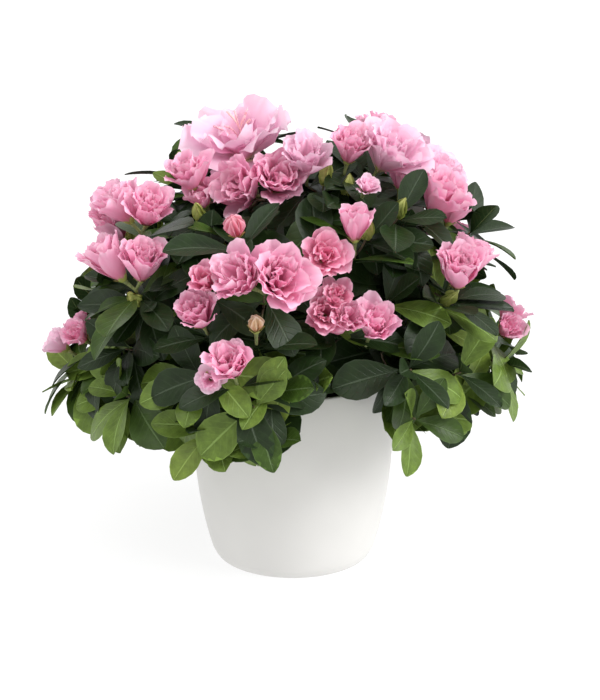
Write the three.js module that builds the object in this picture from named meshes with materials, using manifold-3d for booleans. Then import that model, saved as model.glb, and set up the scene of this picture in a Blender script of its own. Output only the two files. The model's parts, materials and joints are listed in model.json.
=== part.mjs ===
// A double-flowered azalea shrub in a round white pot. Millimetres, +Z up, -Y to the front.
// The pot stands on z = 0 with its axis on the origin. A short stem rises from the soil and forks
// into one bough for each mass of foliage. The masses stand in three tiers round a hollow core,
// and those of the lowest tier hang over the rim of the pot.
import * as THREE from "three";
import { mergeVertices } from "three/addons/utils/BufferGeometryUtils.js";
import Module from "manifold-3d";

const wasm = await Module();
wasm.setup();

// ---------------------------------------------------------------- driving dimensions

const GAP = 0.4; // between pieces that meet
const CREASE = 1.2; // between neighbouring masses of foliage

const POT = {
  height: 135,
  rimRadius: 70,
  footRadius: 53, // of the flat underside
  taper: 15, // how much narrower the wall would be at its foot than at its rim
  cornerHeight: 6, // of the rounding between the underside and the wall
  wall: 3,
  floor: 4,
  lip: 1.4, // radius of the rounded rim
  sides: 40,
};

const SOIL = { top: 124, mound: 3, sides: 32 }; // mound is its rise towards the stem

const STEM = {
  height: 56,
  footRadius: 7.5,
  tipRadius: 5,
  flare: 4.5, // extra radius at the root flare
  flareHeight: 7,
  lean: 5, // how far the tip stands off the foot
  sides: 14,
  steps: 8,
};

const BOUGH = { footRadius: 2.7, tipRadius: 1.6, sides: 7, steps: 5 };

// Each tier: the middles of its masses stand at this radius and height, half as wide, deep and
// tall as size says. turns are the compass places of the masses in degrees, 0 at the front and
// positive to the right. forks is where the tier's boughs leave the stem, as shares of its
// height, and arch is how far a bough rises over a straight line to its mass.
const TIERS = {
  top: {
    radius: 38,
    height: 262,
    size: [56, 56, 56],
    turns: [-95, 85],
    forks: [0.78, 1],
    arch: 0,
  },
  upper: {
    radius: 92,
    height: 223,
    size: [56, 52, 56],
    turns: [-64, -14, 38, 90, 140, -170, -118],
    forks: [0.68, 0.9],
    arch: 6,
  },
  skirt: {
    radius: 120,
    height: 156,
    size: [47, 43, 54],
    turns: [-88, -50, -13, 41, 80, 118, 157, -164, -126],
    forks: [0.34, 0.6],
    arch: 12,
  },
};
const UNEVENNESS = { waves: 0.075, lumps: 0.05, sway: 0.035 }; // as shares of a mass's size
const MASS_DETAIL = 2;

const COLOURS = {
  pot: 0xe4e2dd,
  soil: 0x2b211a,
  bark: 0x5b4535,
  foliage: 0x2f4d24,
};

// ---------------------------------------------------------------- materials

const matte = (color, roughness) =>
  new THREE.MeshStandardMaterial({ color, roughness, metalness: 0 });
const MATERIALS = {
  pot: matte(COLOURS.pot, 0.5),
  soil: matte(COLOURS.soil, 0.95),
  bark: matte(COLOURS.bark, 0.85),
  foliage: matte(COLOURS.foliage, 0.45),
};

// ---------------------------------------------------------------- solids and geometry

function toSolid(geometry) {
  const bare = geometry.clone();
  bare.deleteAttribute("normal");
  bare.deleteAttribute("uv");
  const merged = mergeVertices(bare, 1e-4);
  return new wasm.Manifold(
    new wasm.Mesh({
      numProp: 3,
      vertProperties: merged.attributes.position.array,
      triVerts: new Uint32Array(merged.index.array),
    }),
  );
}

function toGeometry(solid) {
  const mesh = solid.getMesh();
  const geometry = new THREE.BufferGeometry();
  const places = new THREE.BufferAttribute(new Float32Array(mesh.vertProperties), 3);
  geometry.setAttribute("position", places);
  geometry.setIndex(new THREE.BufferAttribute(new Uint32Array(mesh.triVerts), 1));
  geometry.computeVertexNormals();
  return geometry;
}

// The part of a solid that is left in one piece after a cut.
function largest(solid) {
  return solid.decompose().reduce((a, b) => (b.volume() > a.volume() ? b : a));
}

// A named mesh whose own origin is at a point of the solid, placed there by its position.
function piece(name, solid, material, at = new THREE.Vector3()) {
  const mesh = new THREE.Mesh(toGeometry(solid.translate(-at.x, -at.y, -at.z)), material);
  mesh.name = name;
  mesh.position.copy(at);
  return mesh;
}

// Turns a profile about the Z axis. Points are (radius, height).
function lathe(points, sides) {
  return toSolid(new THREE.LatheGeometry(points, sides).rotateX(Math.PI / 2));
}

// A solid limb with a round section along a curve, as thick at each share t of its length as
// radiusAt(t) says.
function limb(curve, radiusAt, sides, steps) {
  const geometry = new THREE.CylinderGeometry(1, 1, 1, sides, steps);
  const places = geometry.attributes.position;
  const { normals, binormals } = curve.computeFrenetFrames(steps);
  const corner = new THREE.Vector3();
  for (let i = 0; i < places.count; i += 1) {
    const step = Math.round((places.getY(i) + 0.5) * steps);
    const radius = radiusAt(step / steps);
    corner.copy(curve.getPointAt(step / steps));
    corner.addScaledVector(binormals[step], places.getX(i) * radius);
    corner.addScaledVector(normals[step], places.getZ(i) * radius);
    places.setXYZ(i, corner.x, corner.y, corner.z);
  }
  return toSolid(geometry);
}

// ---------------------------------------------------------------- pot and soil

// The radius of the outer wall at a height, which narrows to the foot in one smooth curve.
function wallRadius(z) {
  return POT.rimRadius - POT.taper * (1 - z / POT.height) ** 3;
}

// The outer profile from the middle of the underside to just under the rim, pushed out by grow.
function outerProfile(grow = 0) {
  const { footRadius, cornerHeight, height, lip } = POT;
  const outline = new THREE.Path();
  outline.moveTo(footRadius + grow, -grow);
  outline.quadraticCurveTo(
    wallRadius(0) - 1 + grow,
    -grow,
    wallRadius(cornerHeight) + grow,
    cornerHeight,
  );
  const corner = outline.getPoints(5);
  const wall = [];
  const rows = 7;
  for (let i = 1; i <= rows; i += 1) {
    const z = THREE.MathUtils.lerp(cornerHeight, height - lip, i / rows);
    wall.push(new THREE.Vector2(wallRadius(z) + grow, z));
  }
  return [new THREE.Vector2(0, -grow), ...corner, ...wall];
}

// The heights of the corners in the inner wall. The soil's side has the same ones, up to its edge.
const SOIL_EDGE = SOIL.top - SOIL.mound;
const INNER_LEVELS = [
  POT.cornerHeight,
  ...[0.1, 0.3, 0.6].map((share) => SOIL_EDGE * share),
  SOIL_EDGE,
  POT.height - POT.lip,
];

// The inner profile from a level of the inner wall down to the middle of the floor.
function innerProfile(inset, top) {
  const points = INNER_LEVELS.filter((z) => z <= top)
    .reverse()
    .map((z) => new THREE.Vector2(wallRadius(z) - POT.wall - inset, z));
  const floor = POT.floor + inset;
  points.push(new THREE.Vector2(POT.footRadius - inset, floor));
  points.push(new THREE.Vector2(0, floor));
  return points;
}

function makePot() {
  const { height, rimRadius, wall, lip, sides } = POT;
  const rim = new THREE.Path();
  rim.moveTo(rimRadius, height - lip);
  rim.quadraticCurveTo(rimRadius, height, rimRadius - lip, height);
  rim.lineTo(rimRadius - wall + lip, height);
  rim.quadraticCurveTo(rimRadius - wall, height, rimRadius - wall, height - lip);
  const profile = [
    ...outerProfile(),
    ...rim.getPoints(3).slice(1, -1),
    ...innerProfile(0, height - lip),
  ];
  return lathe(profile, sides);
}

function makeSoil() {
  const { top, sides } = SOIL;
  const side = innerProfile(GAP, SOIL_EDGE);
  const surface = new THREE.QuadraticBezierCurve(
    new THREE.Vector2(0, top),
    new THREE.Vector2(POT.rimRadius * 0.6, top),
    side[0],
  );
  const profile = [...side.reverse(), ...surface.getPoints(4).reverse().slice(1)];
  return lathe(profile, sides);
}

// ---------------------------------------------------------------- stem, masses and boughs

// The level that the stem's flat foot stands on.
const GROUND = SOIL.top + GAP;

const stemAxis = new THREE.CatmullRomCurve3([
  new THREE.Vector3(0, 0, GROUND - 3),
  new THREE.Vector3(0, 0, GROUND + STEM.height * 0.2),
  new THREE.Vector3(-STEM.lean * 0.7, STEM.lean * 0.2, GROUND + STEM.height * 0.6),
  new THREE.Vector3(-STEM.lean * 0.4, STEM.lean, GROUND + STEM.height),
]);

function makeStem(grow = 0) {
  const { footRadius, tipRadius, flare, flareHeight, height, sides, steps } = STEM;
  const radiusAt = (t) =>
    THREE.MathUtils.lerp(footRadius, tipRadius, t) +
    flare * Math.exp((-t * height) / flareHeight) +
    grow;
  return limb(stemAxis, radiusAt, sides, steps).trimByPlane([0, 0, 1], GROUND - grow);
}

// The unit vector that points out from the axis at a compass turn, level with the ground.
function outward(turn) {
  const angle = THREE.MathUtils.degToRad(turn);
  return new THREE.Vector3(Math.sin(angle), -Math.cos(angle), 0);
}

// The plan of every mass: its tier, its middle, its own axes and half sizes, and its fork.
const PLAN = Object.entries(TIERS).flatMap(([tier, { radius, height, size, turns, forks, arch }]) =>
  turns.map((turn, i) => {
    const number = i + 1;
    const sway = UNEVENNESS.sway * Math.sin(5 * turn + 2);
    const out = outward(turn);
    const along = new THREE.Vector3(out.y, -out.x, 0);
    const share = turns.length > 1 ? ((i * 3) % turns.length) / (turns.length - 1) : 0;
    return {
      tier,
      number,
      turn,
      arch,
      middle: out.clone().multiplyScalar(radius * (1 + sway)).setZ(height * (1 - sway)),
      axes: [along, out, new THREE.Vector3(0, 0, 1)],
      half: size.map((s, k) => s * (1 + sway * (k - 1))),
      fork: THREE.MathUtils.lerp(forks[0], forks[1], share),
    };
  }),
);

// How far the surface of a mass lies from its smooth ellipsoid in one direction.
function unevenness(direction, seed) {
  const { x, y, z } = direction;
  const { waves, lumps } = UNEVENNESS;
  return (
    1 +
    waves * Math.sin(3.1 * x + 2.3 * z + seed) * Math.cos(2.7 * y - 1.9 * z + 2 * seed) +
    lumps * Math.sin(6.3 * x - 3 * seed) * Math.sin(5.7 * y + 4.9 * z + seed)
  );
}

function ellipsoid({ middle, axes, half, turn }) {
  const geometry = new THREE.IcosahedronGeometry(1, MASS_DETAIL);
  const places = geometry.attributes.position;
  const seed = THREE.MathUtils.degToRad(7 * turn);
  const direction = new THREE.Vector3();
  const point = new THREE.Vector3();
  for (let i = 0; i < places.count; i += 1) {
    direction.fromBufferAttribute(places, i).normalize();
    const reach = unevenness(direction, seed);
    point.copy(middle);
    direction.toArray().forEach((d, k) => point.addScaledVector(axes[k], d * half[k] * reach));
    places.setXYZ(i, point.x, point.y, point.z);
  }
  return toSolid(geometry);
}

// How far an ellipsoid reaches from its middle in a direction.
function reachTowards({ axes, half }, direction) {
  return Math.hypot(...axes.map((axis, k) => axis.dot(direction) * half[k]));
}

// Cuts a mass back from each neighbour by a flat crease half way between their surfaces.
function creased(solid, mass) {
  const most = 1 + UNEVENNESS.waves + UNEVENNESS.lumps;
  for (const other of PLAN) {
    const between = new THREE.Vector3().subVectors(other.middle, mass.middle);
    const distance = between.length();
    if (other === mass) continue;
    between.divideScalar(distance);
    const own = reachTowards(mass, between);
    const theirs = reachTowards(other, between);
    if ((own + theirs) * most < distance) continue;
    const crease = (distance * own) / (own + theirs) - CREASE / 2;
    const back = between.clone().negate();
    solid = solid.trimByPlane(back.toArray(), back.dot(mass.middle) - crease);
  }
  return solid;
}

const potSpace = lathe(
  [...outerProfile(CREASE), new THREE.Vector2(0, POT.height + CREASE)],
  POT.sides,
);

function makeMass(mass) {
  return largest(creased(ellipsoid(mass), mass).subtract(potSpace));
}

// The same mass, grown about its middle so that it clears the mass by GAP.
function grownMass(solid, { middle, half }) {
  const { x, y, z } = middle;
  const growth = 1 + (1.6 * GAP) / Math.min(...half);
  return solid.translate(-x, -y, -z).scale(growth).translate(x, y, z);
}

// One tapering limb from the stem to the middle of a mass, ending where it enters the mass.
function makeBough(mass, stemSpace, massSpace) {
  const foot = stemAxis.getPointAt(mass.fork);
  const bend = foot.clone().lerp(mass.middle, 0.5);
  bend.z += mass.arch;
  const curve = new THREE.QuadraticBezierCurve3(foot, bend, mass.middle.clone());
  const radiusAt = (t) => THREE.MathUtils.lerp(BOUGH.footRadius, BOUGH.tipRadius, t);
  const whole = limb(curve, radiusAt, BOUGH.sides, BOUGH.steps);
  return { foot, solid: largest(whole.subtract(stemSpace).subtract(massSpace)) };
}

// ---------------------------------------------------------------- the assembly

const azalea = new THREE.Group();
const crown = new THREE.Group();
azalea.add(crown);

azalea.add(piece("pot", makePot(), MATERIALS.pot));
azalea.add(piece("soil", makeSoil(), MATERIALS.soil, new THREE.Vector3(0, 0, POT.floor)));
azalea.add(piece("stem", makeStem(), MATERIALS.bark, new THREE.Vector3(0, 0, GROUND)));

const stemSpace = makeStem(GAP);
for (const mass of PLAN) {
  const label = `${mass.tier}_${mass.number}`;
  const solid = makeMass(mass);
  const bough = makeBough(mass, stemSpace, grownMass(solid, mass));
  crown.add(piece(`foliage_${label}`, solid, MATERIALS.foliage, mass.middle));
  crown.add(piece(`bough_${label}`, bough.solid, MATERIALS.bark, bough.foot));
}

export default azalea;
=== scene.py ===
"""A double pink azalea in a round white pot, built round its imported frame.

The pot, compost and bark replace their plain solids. Every mass of foliage is replaced by twigs that
grow on from its bough by a seeded branching rule, and by the leaves, buds and blossom that the twigs
bear. Metres, +Z up, -Y to the front of the plant.
"""

import json
import math
import random
from dataclasses import dataclass
from functools import lru_cache

import bpy
import numpy as np
from bpy.props import FloatProperty, FloatVectorProperty, IntProperty, PointerProperty
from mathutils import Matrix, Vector, noise
from mathutils.bvhtree import BVHTree

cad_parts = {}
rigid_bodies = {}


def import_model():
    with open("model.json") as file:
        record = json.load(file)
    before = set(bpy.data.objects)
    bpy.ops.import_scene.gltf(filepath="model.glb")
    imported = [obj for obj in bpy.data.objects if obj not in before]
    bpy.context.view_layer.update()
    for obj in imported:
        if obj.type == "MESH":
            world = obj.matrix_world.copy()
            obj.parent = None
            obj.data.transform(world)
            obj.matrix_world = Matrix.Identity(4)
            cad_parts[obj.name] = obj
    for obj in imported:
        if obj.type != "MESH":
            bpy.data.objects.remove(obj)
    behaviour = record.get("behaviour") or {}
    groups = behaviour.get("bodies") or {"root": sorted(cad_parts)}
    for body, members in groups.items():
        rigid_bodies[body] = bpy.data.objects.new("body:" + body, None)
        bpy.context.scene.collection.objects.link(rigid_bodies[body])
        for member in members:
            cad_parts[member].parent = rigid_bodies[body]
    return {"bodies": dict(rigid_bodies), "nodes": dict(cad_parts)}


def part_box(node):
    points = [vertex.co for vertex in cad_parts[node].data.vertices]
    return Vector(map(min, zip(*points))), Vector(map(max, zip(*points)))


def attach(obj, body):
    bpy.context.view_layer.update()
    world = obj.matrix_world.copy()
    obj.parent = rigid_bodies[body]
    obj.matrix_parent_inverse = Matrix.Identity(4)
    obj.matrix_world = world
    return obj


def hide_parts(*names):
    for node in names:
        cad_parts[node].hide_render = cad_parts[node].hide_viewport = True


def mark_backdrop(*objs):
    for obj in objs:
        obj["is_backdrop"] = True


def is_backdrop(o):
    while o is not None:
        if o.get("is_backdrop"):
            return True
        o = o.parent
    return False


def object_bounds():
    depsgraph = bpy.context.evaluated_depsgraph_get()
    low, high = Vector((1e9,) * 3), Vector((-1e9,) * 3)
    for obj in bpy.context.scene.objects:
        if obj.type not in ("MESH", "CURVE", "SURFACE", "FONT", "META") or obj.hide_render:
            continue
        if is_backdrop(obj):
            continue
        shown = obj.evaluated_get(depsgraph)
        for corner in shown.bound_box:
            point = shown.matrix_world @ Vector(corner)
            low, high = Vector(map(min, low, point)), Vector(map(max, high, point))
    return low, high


bl_info = {
    "name": "Potted azalea",
    "version": (1, 0, 0),
    "blender": (4, 5, 0),
    "location": "3D View > Sidebar > Azalea",
    "description": "Builds a double pink azalea in a round white pot, with its stage",
    "category": "Object",
}

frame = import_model()
CAD_BOX = [list(corner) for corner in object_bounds()]

NODES = frame["nodes"]
BODY = next(iter(frame["bodies"]))
MASSES = sorted(name for name in NODES if name.startswith("foliage_"))
LIMBS = ["stem", *sorted(name for name in NODES if name.startswith("bough_"))]
POT_LOW, POT_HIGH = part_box("pot")
SOIL_LOW, SOIL_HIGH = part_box("soil")

MM = 0.001
UP = Vector((0, 0, 1))
GOLDEN = math.radians(137.508)  # the turn from one leaf of a whorl to the next
POINT = MM / 100  # radius of the innermost ring of a turned form
TILE_MAP = "OFBake"  # the UV map that leaves and petals draw their veins and edges from
TILE_EDGE = 0.02  # kept clear round each tile of that map


# ---------------------------------------------------------------- settings


def length(name, description, default, **rest):
    """A setting that is a length in metres."""
    return FloatProperty(
        name=name, description=description, default=default, unit="LENGTH", precision=4, min=0, **rest
    )


def colour(name, description, default):
    """A setting that is a linear colour."""
    return FloatVectorProperty(
        name=name, description=description, default=default, subtype="COLOR", size=3, min=0, max=1
    )


def share(name, description, default):
    """A setting from 0 to 1."""
    return FloatProperty(
        name=name, description=description, default=default, subtype="FACTOR", min=0, max=1
    )


class PotSettings(bpy.types.PropertyGroup):
    rim_radius: length("Rim radius", "Radius of the pot at its rim", (POT_HIGH.x - POT_LOW.x) / 2)
    height: length("Height", "Height of the pot", POT_HIGH.z - POT_LOW.z)
    foot_radius: length("Foot radius", "Radius of the flat underside", 53 * MM)
    taper: length("Taper", "How much narrower the wall would be at its foot", 15 * MM)
    corner_height: length("Corner height", "Height of the rounding above the foot", 6 * MM)
    wall: length("Wall", "Thickness of the wall", 3 * MM)
    floor: length("Floor", "Thickness of the floor", 4 * MM)
    lip: length("Lip", "Radius of the rounded rim", 1.4 * MM)
    colour: colour("Colour", "Colour of the glaze", (0.66, 0.65, 0.63))
    roughness: share("Roughness", "Roughness of the glaze", 0.46)


class CompostSettings(bpy.types.PropertyGroup):
    mound: length("Mound", "How far the compost rises towards the stem", 3 * MM)
    crumbs: IntProperty(name="Crumbs", description="Loose crumbs on the compost", default=260, min=0)
    crumb: length("Crumb size", "Radius of the largest crumb", 2.1 * MM)
    colour: colour("Colour", "Colour of the compost", (0.030, 0.020, 0.014))


class BarkSettings(bpy.types.PropertyGroup):
    relief: length("Relief", "Depth of the fissures in the stem", 0.75 * MM)
    twig_radius: length("Twig radius", "Radius of a twig under its last leaves", 0.75 * MM)
    limb_radius: length("Limb radius", "Radius of a bough where it enters its mass", 1.6 * MM)
    colour: colour("Colour", "Colour of the bark", (0.115, 0.072, 0.046))
    shoot_colour: colour("Shoot colour", "Colour of the young shoots", (0.14, 0.155, 0.05))


class FoliageSettings(bpy.types.PropertyGroup):
    seed: IntProperty(name="Seed", description="Seed of the branching rule", default=7)
    shoots: IntProperty(
        name="Shoots", description="Directions tried for shoots on the outside", default=170, min=1
    )
    inner_shoots: IntProperty(
        name="Inner shoots", description="Directions tried for shoots inside", default=110, min=0
    )
    leaf_length: length("Leaf length", "Length of a full grown leaf", 49 * MM)
    leaf_width: length("Leaf width", "Width of a full grown leaf", 24.5 * MM)
    # Deep green is the leaf's own dark green darkened further as painted shade, for the leaves inside
    # and over the top of the crown.
    deep: colour("Deep green", "Colour of the shaded leaves", (0.012, 0.026, 0.006))
    green: colour("Green", "Colour of the full grown leaves", (0.034, 0.066, 0.009))
    # A paler green for the low leaves: painted light shining through them from behind.
    bright: colour("Bright green", "Colour of the lower leaves", (0.108, 0.170, 0.026))
    # The young leaves' own paler green, which low leaves also take as painted light from behind.
    fresh: colour("Fresh green", "Colour of the youngest leaves", (0.150, 0.215, 0.034))
    bud: colour("Bud green", "Colour of the leaf buds", (0.40, 0.46, 0.11))


class BlossomSettings(bpy.types.PropertyGroup):
    pale: colour("Pale", "Petal colour of the palest heads", (0.93, 0.61, 0.77))
    pink: colour("Pink", "Petal colour of most heads", (0.90, 0.40, 0.60))
    deep: colour("Deep", "Petal colour of the deepest heads", (0.87, 0.28, 0.47))
    bud: colour("Bud", "Petal colour of the blossom in bud", (0.85, 0.30, 0.40))
    cream: colour("Cream", "Petal colour of the tightest buds", (0.74, 0.60, 0.30))
    glow: share("Glow", "How much light passes through a petal", 0.35)


class StageSettings(bpy.types.PropertyGroup):
    target_height: length("Target height", "Height that the camera is set round", 160 * MM)
    distance: length("Distance", "Distance of the camera", 1.6)
    lift: FloatProperty(
        name="Lift", description="Angle of the camera above the floor", default=math.radians(18),
        subtype="ANGLE",
    )
    aim_right: length("Aim right", "How far right of the target the camera aims", 4.8 * MM)
    aim_below: length("Aim below", "How far below the target the camera aims", 12.6 * MM)
    lens: FloatProperty(name="Lens", description="Focal length in millimetres", default=120.3)
    floor: colour("Floor", "Colour of the floor", (0.20, 0.20, 0.20))


GROUPS = {
    "azalea_pot": PotSettings,
    "azalea_compost": CompostSettings,
    "azalea_bark": BarkSettings,
    "azalea_foliage": FoliageSettings,
    "azalea_blossom": BlossomSettings,
    "azalea_stage": StageSettings,
}


def chosen(group):
    """The settings of one group, such as "pot"."""
    return getattr(bpy.context.scene, "azalea_" + group)


# ---------------------------------------------------------------- finishes


class Value:
    """A socket of a finish, which can stand in a sum."""

    def __init__(self, finish, socket):
        self.finish = finish
        self.socket = socket

    def _sum(self, operation, *values):
        sockets = dict(enumerate(values))
        return self.finish.node("ShaderNodeMath", {"operation": operation}, sockets)

    def __add__(self, other):
        return self._sum("ADD", self, other)

    __radd__ = __add__

    def __sub__(self, other):
        return self._sum("SUBTRACT", self, other)

    def __rsub__(self, other):
        return self._sum("SUBTRACT", other, self)

    def __mul__(self, other):
        return self._sum("MULTIPLY", self, other)

    __rmul__ = __mul__

    def __gt__(self, other):
        return self._sum("GREATER_THAN", self, other)

    def __abs__(self):
        return self._sum("ABSOLUTE", self)

    def part(self):
        """What is left over a whole number."""
        return self._sum("FRACT", self)


class Finish:
    """One material, and the nodes it is made from."""

    def __init__(self, name):
        self.material = bpy.data.materials.new(name)
        self.material.use_nodes = True
        self.tree = self.material.node_tree
        self.tree.nodes.clear()

    def node(self, kind, settings=None, sockets=None, output=0):
        """Adds a node: its settings first, then the values or links of its sockets."""
        node = self.tree.nodes.new(kind)
        for name, value in (settings or {}).items():
            if name == "stops":
                self._set_stops(node.color_ramp.elements, value)
            else:
                setattr(node, name, value)
        for name, value in (sockets or {}).items():
            socket = self._input(node, name)
            if isinstance(value, Value):
                self.tree.links.new(value.socket, socket)
            else:
                socket.default_value = value
        if not node.outputs:
            return None
        outputs = [o for o in node.outputs if o.enabled]
        found = outputs[output] if isinstance(output, int) else node.outputs[output]
        return Value(self, found)

    def parts(self, vector):
        """The three numbers of a vector."""
        first = self.node("ShaderNodeSeparateXYZ", sockets={"Vector": vector})
        return [Value(self, socket) for socket in first.socket.node.outputs]

    @staticmethod
    def _set_stops(elements, stops):
        while len(elements) < len(stops):
            elements.new(0.5)
        for element, (place, value) in zip(elements, stops, strict=True):
            element.position = place
            element.color = (*value, 1) if hasattr(value, "__len__") else (value, value, value, 1)

    @staticmethod
    def _input(node, name):
        if isinstance(name, int):
            return node.inputs[name]
        return next(s for s in node.inputs if s.name == name and s.enabled)

    def ramp(self, factor, *stops):
        """A grey or colour ramp over a value."""
        return self.node("ShaderNodeValToRGB", {"stops": stops}, {"Fac": factor})

    def step(self, value, low, high):
        """0 below low and 1 above high, smooth between them."""
        return self.node(
            "ShaderNodeMapRange",
            {"interpolation_type": "SMOOTHSTEP"},
            {"Value": value, "From Min": low, "From Max": high},
        )

    def blend(self, factor, first, second):
        """The first colour turned to the second as the factor goes to 1."""
        as_colour = [(*c, 1) if isinstance(c, tuple) and len(c) == 3 else c for c in (first, second)]
        return self.node(
            "ShaderNodeMix",
            {"data_type": "RGBA"},
            {"Factor": factor, "A": as_colour[0], "B": as_colour[1]},
        )

    def stretched(self, where, scale):
        """A place, stretched by a scale."""
        return self.node("ShaderNodeVectorMath", {"operation": "MULTIPLY"}, {0: where, 1: scale})

    def place(self, scale=(1, 1, 1)):
        """The place on the object, stretched by a scale."""
        return self.stretched(self.node("ShaderNodeTexCoord", output="Object"), scale)

    def tile_place(self):
        """The place on the tile map."""
        return self.node("ShaderNodeUVMap", {"uv_map": TILE_MAP})

    def speckle(self, place, scale, detail=4.0, roughness=0.6):
        """Plain noise from 0 to 1."""
        return self.node(
            "ShaderNodeTexNoise",
            sockets={"Vector": place, "Scale": scale, "Detail": detail, "Roughness": roughness},
        )

    def relief(self, height, distance, strength=1.0):
        """A bump of that height in metres."""
        return self.node(
            "ShaderNodeBump", sockets={"Height": height, "Distance": distance, "Strength": strength}
        )

    def surface(self, sockets, glow=0.0, glow_colour=None):
        """Ends the finish with a Principled shader, some of which may let light of a colour through."""
        shader = self.node("ShaderNodeBsdfPrincipled", sockets=sockets)
        if glow:
            lit = {"Color": (*glow_colour, 1)}
            through = self.node("ShaderNodeBsdfTranslucent", sockets=lit)
            shader = self.node("ShaderNodeMixShader", sockets={0: glow, 1: shader, 2: through})
        self.node("ShaderNodeOutputMaterial", sockets={"Surface": shader})
        return self.material


def tinted(base, factor):
    """A colour made lighter or darker, in numbers alone."""
    return tuple(min(1.0, channel * factor) for channel in base)


# ---------------------------------------------------------------- meshes


def add_piece(name, mesh, finish, slot, *stands_for):
    """Puts a mesh in the scene as a piece of the plant, in place of the solids that it stands for."""
    piece = bpy.data.objects.new(name, mesh)
    bpy.context.scene.collection.objects.link(piece)
    mesh.materials.append(finish)
    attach(piece, BODY)
    if stands_for:
        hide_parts(*stands_for)
    return piece


def quad_mesh(name, corners, quads, tiles=None):
    """A smooth mesh of four-cornered faces. tiles gives each corner's place on the tile map."""
    quads = np.asarray(quads, np.int32)
    mesh = bpy.data.meshes.new(name)
    mesh.vertices.add(len(corners))
    mesh.vertices.foreach_set("co", np.asarray(corners, np.float32).ravel())
    mesh.loops.add(quads.size)
    mesh.loops.foreach_set("vertex_index", quads.ravel())
    mesh.polygons.add(len(quads))
    mesh.polygons.foreach_set("loop_start", np.arange(0, quads.size, 4, dtype=np.int32))
    mesh.update(calc_edges=True)
    mesh.shade_smooth()
    if tiles is not None:
        layer = mesh.uv_layers.new(name=TILE_MAP)
        layer.uv.foreach_set("vector", np.asarray(tiles, np.float32)[quads.ravel()].ravel())
        layer.active_render = True
    return mesh


def grid_faces(rows, columns, closed=False):
    """The faces of a grid of corners, row by row, closed round or not."""
    across = columns if closed else columns - 1
    row, column = np.meshgrid(np.arange(rows - 1), np.arange(across), indexing="ij")
    here = row * columns + column
    beside = row * columns + (column + 1) % columns
    faces = np.stack([here, beside, beside + columns, here + columns], -1)
    return faces.reshape(-1, 4)


def turned(profile, sides):
    """Corners and faces of a profile of (radius, height) turned about the Z axis."""
    around = np.linspace(0, 2 * math.pi, sides, endpoint=False)
    radius, height = np.asarray(profile, float).T
    corners = np.stack(
        [
            radius[:, None] * np.cos(around),
            radius[:, None] * np.sin(around),
            np.broadcast_to(height[:, None], (len(radius), sides)),
        ],
        -1,
    )
    return corners.reshape(-1, 3), grid_faces(len(profile), sides, closed=True)


def joined(parts):
    """One set of corners and faces from several."""
    corners, faces, first = [], [], 0
    for more_corners, more_faces in parts:
        corners.append(more_corners)
        faces.append(np.asarray(more_faces) + first)
        first += len(more_corners)
    return np.concatenate(corners), np.concatenate(faces)


def tube(path, radii, sides):
    """Corners and faces of a round limb along a path, drawn to a point at both ends."""
    path = np.asarray(path, float)
    ahead = np.gradient(path, axis=0)
    ahead /= np.linalg.norm(ahead, axis=1)[:, None]
    side = np.cross(ahead[0], (0.36, 0.48, 0.8))  # no limb runs quite along this
    sides_of = []
    for direction in ahead:
        side = side - direction * side.dot(direction)
        side /= np.linalg.norm(side)
        sides_of.append(side)
    side = np.array(sides_of)
    other = np.cross(ahead, side)
    around = np.linspace(0, 2 * math.pi, sides, endpoint=False)[:, None]
    radii = np.asarray(radii, float)
    rings = [path[0] + 0 * around] + [
        centre + radius * (np.cos(around) * a + np.sin(around) * b)
        for centre, radius, a, b in zip(path, radii, side, other, strict=True)
    ]
    tip = path[-1] + ahead[-1] * radii[-1]
    rings[0] = path[0] + (rings[1] - path[0]) * 0.05
    rings.append(tip + (rings[-1] - path[-1]) * 0.05)
    return np.concatenate(rings), grid_faces(len(rings), sides, closed=True)


# ---------------------------------------------------------------- blades


@dataclass
class Blade:
    """A thin blade, such as a leaf or a petal. It starts at its foot and runs ahead, with its upper
    side to face, and bends back from that side. The shares are of its width."""

    foot: Vector
    ahead: Vector
    face: Vector
    length: float
    width: float
    bend: float  # turn of its length away from its face, in radians
    fold: float  # rise of its edges towards its face, as a share
    ruffle: float = 0.0  # height of the waves at its edge, as a share
    twist: float = 0.0  # turn of its tip about its own length, in radians
    phase: float = 0.0
    flare: float = 0.0  # further turn of its end alone, in radians
    column: int = 0  # of the tile map
    hem: float = 0.0  # the lowest that it may hang


@dataclass
class BladeShape:
    """What all the blades of a piece share."""

    rows: np.ndarray  # where the rows of corners are, as shares of the length
    columns: np.ndarray  # and the columns, from -1 to 1
    half_width: np.ndarray  # at each row, as a share
    rounding: float  # how far the end's corners fall back, as a share of the length
    notching: float  # depth of the notches along the end, as a share of the length
    tile_columns: int
    thickness: float = 0.0  # of a blade with an underside; other blades are one sheet


def crosswise(a, b):
    """The cross products of two sets of vectors, made unit length."""
    out = np.cross(a, b)
    return out / np.linalg.norm(out, axis=-1, keepdims=True)


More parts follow.
